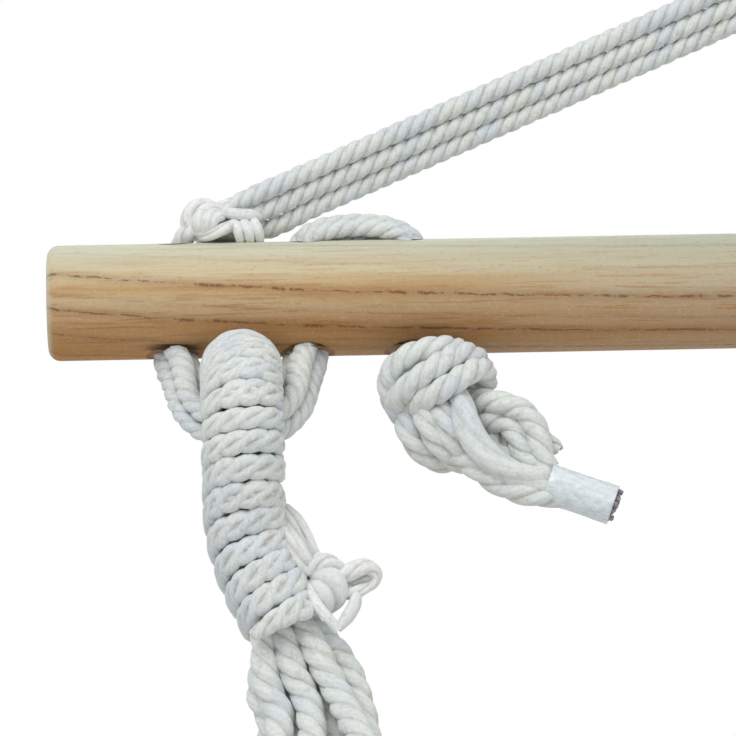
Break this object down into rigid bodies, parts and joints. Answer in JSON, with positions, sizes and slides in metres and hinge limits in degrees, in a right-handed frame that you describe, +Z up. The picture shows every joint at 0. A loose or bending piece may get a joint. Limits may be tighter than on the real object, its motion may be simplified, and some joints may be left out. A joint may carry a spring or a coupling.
{
  "type": "hammock chair",
  "caption": "Canvas sling seat hung by corded, whipped rope eyes under a round wooden spreader bar, which hangs from a ring by parallel twisted ropes.",
  "frame": {"origin": "where a hook bears, at the top inside of the hanging ring", "axes": "+Z up; +X along the spreader bar, towards its right end as seen from the front; -Y is the front"},
  "size_m": [1, 0.7222, 1.232],
  "materials": {
    "cotton_rope": "twisted natural cotton, matt",
    "canvas": "woven cotton canvas, matt",
    "wood": "pale turned wood with fine dark grain lines, satin",
    "steel": "satin",
    "tape": "glossy wrapped tape"
  },
  "bodies": {
    "ring": {"hanging_ring": "steel"},
    "hanger": {"suspension_cord_front": "cotton_rope", "suspension_cord_middle": "cotton_rope", "suspension_cord_back": "cotton_rope", "spreader_bar": "wood", "left_top_knot": "cotton_rope", "left_lashing_cord_1": "cotton_rope", "left_lashing_cord_2": "cotton_rope", "left_lashing_cord_3": "cotton_rope", "left_stopper_knot": "cotton_rope", "left_end_tape": "tape", "right_top_knot": "cotton_rope", "right_lashing_cord_1": "cotton_rope", "right_lashing_cord_2": "cotton_rope", "right_lashing_cord_3": "cotton_rope", "right_stopper_knot": "cotton_rope", "right_end_tape": "tape"},
    "seat": {"left_seat_eye": "cotton_rope", "left_eye_whipping": "cotton_rope", "left_whipping_tie": "cotton_rope", "left_seat_cord_1": "cotton_rope", "left_seat_cord_2": "cotton_rope", "left_seat_cord_3": "cotton_rope", "left_seat_cord_4": "cotton_rope", "left_seat_cord_5": "cotton_rope", "left_seat_cord_6": "cotton_rope", "left_seat_cord_7": "cotton_rope", "left_seat_cord_8": "cotton_rope", "left_seat_cord_9": "cotton_rope", "left_seat_cord_10": "cotton_rope", "left_hem": "canvas", "right_seat_eye": "cotton_rope", "right_eye_whipping": "cotton_rope", "right_whipping_tie": "cotton_rope", "right_seat_cord_1": "cotton_rope", "right_seat_cord_2": "cotton_rope", "right_seat_cord_3": "cotton_rope", "right_seat_cord_4": "cotton_rope", "right_seat_cord_5": "cotton_rope", "right_seat_cord_6": "cotton_rope", "right_seat_cord_7": "cotton_rope", "right_seat_cord_8": "cotton_rope", "right_seat_cord_9": "cotton_rope", "right_seat_cord_10": "cotton_rope", "right_hem": "canvas", "canvas_seat": "canvas"}
  },
  "joints": [
    {"name": "chair_swing", "type": "hinge", "parent": "ring", "child": "hanger", "pos_m": [0, 0, -0.022], "axis": [1, 0, 0], "range_deg": [-35, 35]},
    {"name": "seat_swing", "type": "hinge", "parent": "hanger", "child": "seat", "pos_m": [0, -0.00613, -0.29936], "axis": [1, 0, 0], "range_deg": [-30, 30]}
  ]
}
